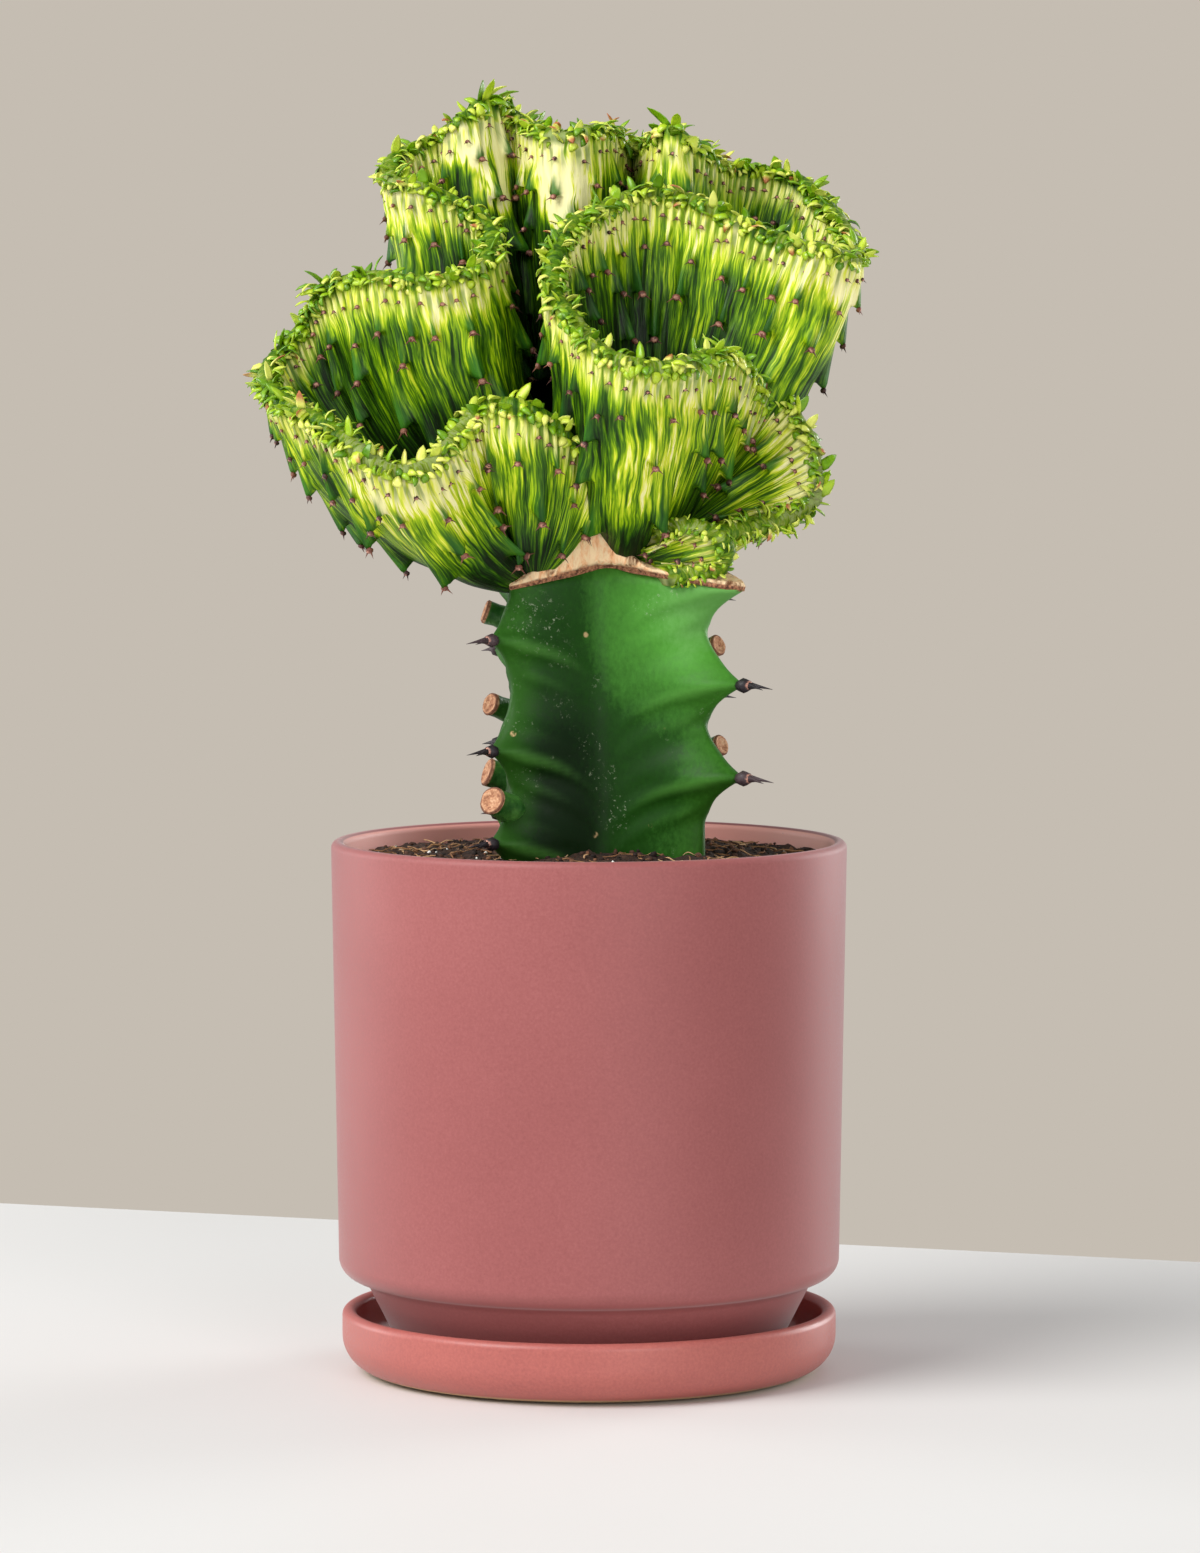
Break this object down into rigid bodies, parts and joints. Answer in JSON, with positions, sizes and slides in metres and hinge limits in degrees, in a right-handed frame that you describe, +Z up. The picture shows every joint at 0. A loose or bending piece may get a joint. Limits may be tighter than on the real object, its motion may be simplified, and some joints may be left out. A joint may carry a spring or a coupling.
{
  "type": "potted crested cactus",
  "caption": "Ruffled crested succulent grafted on a ridged rootstock, planted in a round ceramic pot that stands in a low saucer.",
  "frame": {"origin": "on the pot's axis, at the flat underside of the saucer", "axes": "+Z up along the pot's axis; -Y is the front, where the callus of the graft shows; +X to the right seen from the front"},
  "size_m": [0.1553, 0.1301, 0.3252],
  "materials": {
    "saucer_ceramic": "matte",
    "pot_ceramic": "matte",
    "potting_mix": "loose soil",
    "stem_skin": "waxy plant skin",
    "cork": "rough cork",
    "crest_skin": "waxy plant skin"
  },
  "bodies": {
    "root": {"saucer": "saucer_ceramic", "pot": "pot_ceramic", "soil": "potting_mix", "rootstock": "stem_skin", "graft_callus": "cork", "crest": "crest_skin"}
  },
  "joints": []
}
